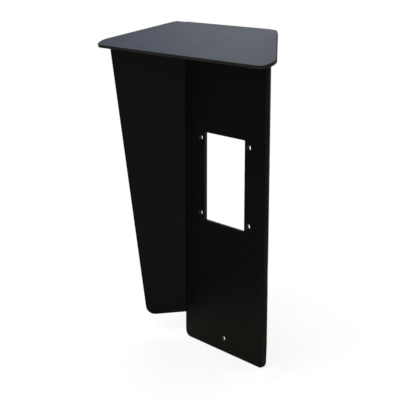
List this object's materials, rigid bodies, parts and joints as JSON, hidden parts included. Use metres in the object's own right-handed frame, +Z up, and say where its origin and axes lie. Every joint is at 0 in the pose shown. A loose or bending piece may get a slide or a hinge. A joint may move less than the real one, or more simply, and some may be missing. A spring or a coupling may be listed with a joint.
{
  "type": "payment terminal stand",
  "caption": "Black board stand for a card payment terminal: window panel, two splayed side wings and a sloping top plate.",
  "frame": {"origin": "axis of the fixing hole in the panel's bottom tab, on the panel's back face", "axes": "+X to the right as the customer faces the stand, +Y away from the customer, +Z up"},
  "size_m": [0.4034, 0.1073, 0.5204],
  "materials": {
    "black_board": "matte black compact laminate",
    "cleat_steel": "black powder coat",
    "screw_steel": "black zinc plated"
  },
  "bodies": {
    "root": {"panel_cleat": "cleat_steel", "screw_centre_panel_1": "screw_steel", "screw_centre_panel_2": "screw_steel", "screw_centre_panel_3": "screw_steel", "screw_centre_plate_1": "screw_steel", "screw_centre_plate_2": "screw_steel", "screw_centre_plate_3": "screw_steel", "screw_left_plate_1": "screw_steel", "screw_left_plate_2": "screw_steel", "screw_left_wing_1": "screw_steel", "screw_left_wing_2": "screw_steel", "screw_right_plate_1": "screw_steel", "screw_right_plate_2": "screw_steel", "screw_right_wing_1": "screw_steel", "screw_right_wing_2": "screw_steel", "top_plate": "black_board", "window_panel": "black_board", "wing_cleat_left": "cleat_steel", "wing_cleat_right": "cleat_steel", "wing_left": "black_board", "wing_right": "black_board"}
  },
  "joints": []
}
